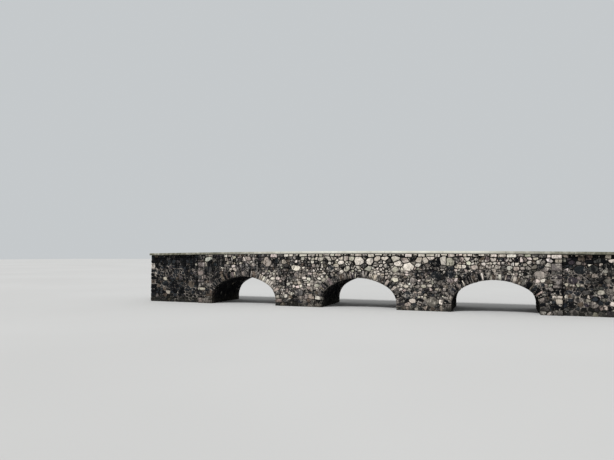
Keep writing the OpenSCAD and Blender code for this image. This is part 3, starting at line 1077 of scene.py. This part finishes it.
def road():
    """Rolled gravel with two worn tracks."""
    heap = Heap()
    xs = np.linspace(-HALF_LENGTH, HALF_LENGTH, 521)
    ys = np.linspace(-ROAD_HALF, ROAD_HALF, 51)
    gx, gy = np.meshgrid(xs, ys, indexing="ij")
    rut = 0.022 * np.exp(-((np.abs(gy) - 0.72) / 0.17) ** 2)
    waves = np.sin(1.3 * gx + 2.0 * gy) + np.sin(2.9 * gx - 1.1 * gy) + np.sin(6.1 * gx + 4.3 * gy)
    edge = 0.01 * (np.abs(gy) / ROAD_HALF) ** 4
    gz = ROAD_TOP + fall(gx) - 0.02 - rut + 0.004 * waves + edge
    top = np.stack([gx, gy, gz], 2).reshape(-1, 3)
    index = np.arange(gx.size).reshape(gx.shape)
    squares = (index[:-1, :-1], index[1:, :-1], index[1:, 1:], index[:-1, 1:])
    faces = np.stack(squares, 2).reshape(-1, 4).tolist()
    rim = [*index[:-1, 0], *index[-1, :-1], *index[:0:-1, -1], *index[0, :0:-1]]
    base = top[rim].copy()
    base[:, 2] = ROAD_BASE
    count = len(rim)
    below = len(top)
    faces += [(rim[i], below + i, below + (i + 1) % count, rim[(i + 1) % count]) for i in range(count)]
    faces.append(tuple(below + i for i in reversed(range(count))))
    heap.add(np.vstack([top, base]), faces)
    piece("gravel_road", heap, "road_gravel", "gravel", stands_for=("road_surface",))


# The whole bridge

for face_number, (side, sign) in enumerate(SIDES):
    plan_rng = np.random.default_rng(SEEDS["plan"] + face_number)
    plans = [arch_plan(plan_rng) for _ in ARCHES]
    main_face(side, sign, plans, SEEDS["wall"] + face_number)
    for number, ((place_name, centre), plan) in enumerate(zip(ARCHES, plans)):
        lay_arch(side, sign, place_name, centre, plan, SEEDS["ring"] + number + 10 * face_number)
for seed, (place_name, centre) in enumerate(ARCHES, SEEDS["soffit"]):
    soffit(place_name, centre, seed)
corner_stones = {side: [] for side, _ in SIDES}
approaches = itertools.product(SIDES, ENDS)
for seed, ((side, sign), (end_name, end)) in enumerate(approaches, SEEDS["approach"]):
    corner_stones[side] += approach(side, sign, end_name, end, seed)
for seed, (end_name, end) in enumerate(ENDS, SEEDS["end"]):
    end_face(end_name, end, seed)
for seed, (side, sign) in enumerate(SIDES, SEEDS["parapet"]):
    parapet_inside(side, sign, corner_stones[side], seed)
for seed, (side, sign) in enumerate(SIDES, SEEDS["coping"]):
    coping(side, sign, seed)
road()

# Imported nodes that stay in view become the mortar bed
for name, node in frame["nodes"].items():
    node.data.materials.clear()
    node.data.materials.append(MATERIALS["earth" if name.endswith("fill") else "mortar"])


# Floor, light, and the camera that took the photograph

def floor():
    material, shader, space = new_material("pale_floor")
    cloud = noise(space, 0.05, 3.0, 0.5)
    colour = mix(ramp(cloud, 0.3, 0.7), (0.62, 0.62, 0.61), (0.65, 0.65, 0.64))
    dress(shader, colour, 0.9)
    bpy.ops.mesh.primitive_plane_add(size=900)
    made = bpy.context.object
    made.name = "floor"
    made.data.materials.append(material)


def world():
    made = bpy.data.worlds.new("studio")
    bpy.context.scene.world = made
    made.use_nodes = True
    back = made.node_tree.nodes["Background"]
    path = made.node_tree.nodes.new("ShaderNodeLightPath")
    seen = math_node("MAXIMUM", path.outputs["Is Camera Ray"], path.outputs["Is Glossy Ray"])
    seen = math_node("MAXIMUM", seen, path.outputs["Is Transmission Ray"])
    colour = mix(seen, (0.98, 0.99, 1.0), (0.56, 0.585, 0.60))
    connect(back.inputs["Color"], colour)
    connect(back.inputs["Strength"], ramp(seen, 0.0, 1.0, 0.46, 1.0))


def sun(turn, height, strength, angle):
    data = bpy.data.lights.new("sun", "SUN")
    data.energy = strength
    data.angle = math.radians(angle)
    made = bpy.data.objects.new("sun", data)
    made.rotation_euler = (math.radians(90 - height), 0, math.radians(turn))
    bpy.context.scene.collection.objects.link(made)


EYE = (8.32, -33.64, 3.27)
VIEW_TURN = 20.3
VIEW_PITCH = 2.86
FOCAL_PIXELS = 520
IMAGE_WIDTH = 614


def camera():
    data = bpy.data.cameras.new("camera")
    data.lens = data.sensor_width * FOCAL_PIXELS / IMAGE_WIDTH
    data.clip_end = 2000
    made = bpy.data.objects.new("camera", data)
    made.location = EYE
    made.rotation_euler = (math.radians(90 + VIEW_PITCH), 0, math.radians(VIEW_TURN))
    bpy.context.scene.collection.objects.link(made)
    bpy.context.scene.camera = made


floor()
world()
sun(turn=-28, height=50, strength=2.35, angle=12)
camera()
bpy.context.scene.view_settings.view_transform = "Standard"
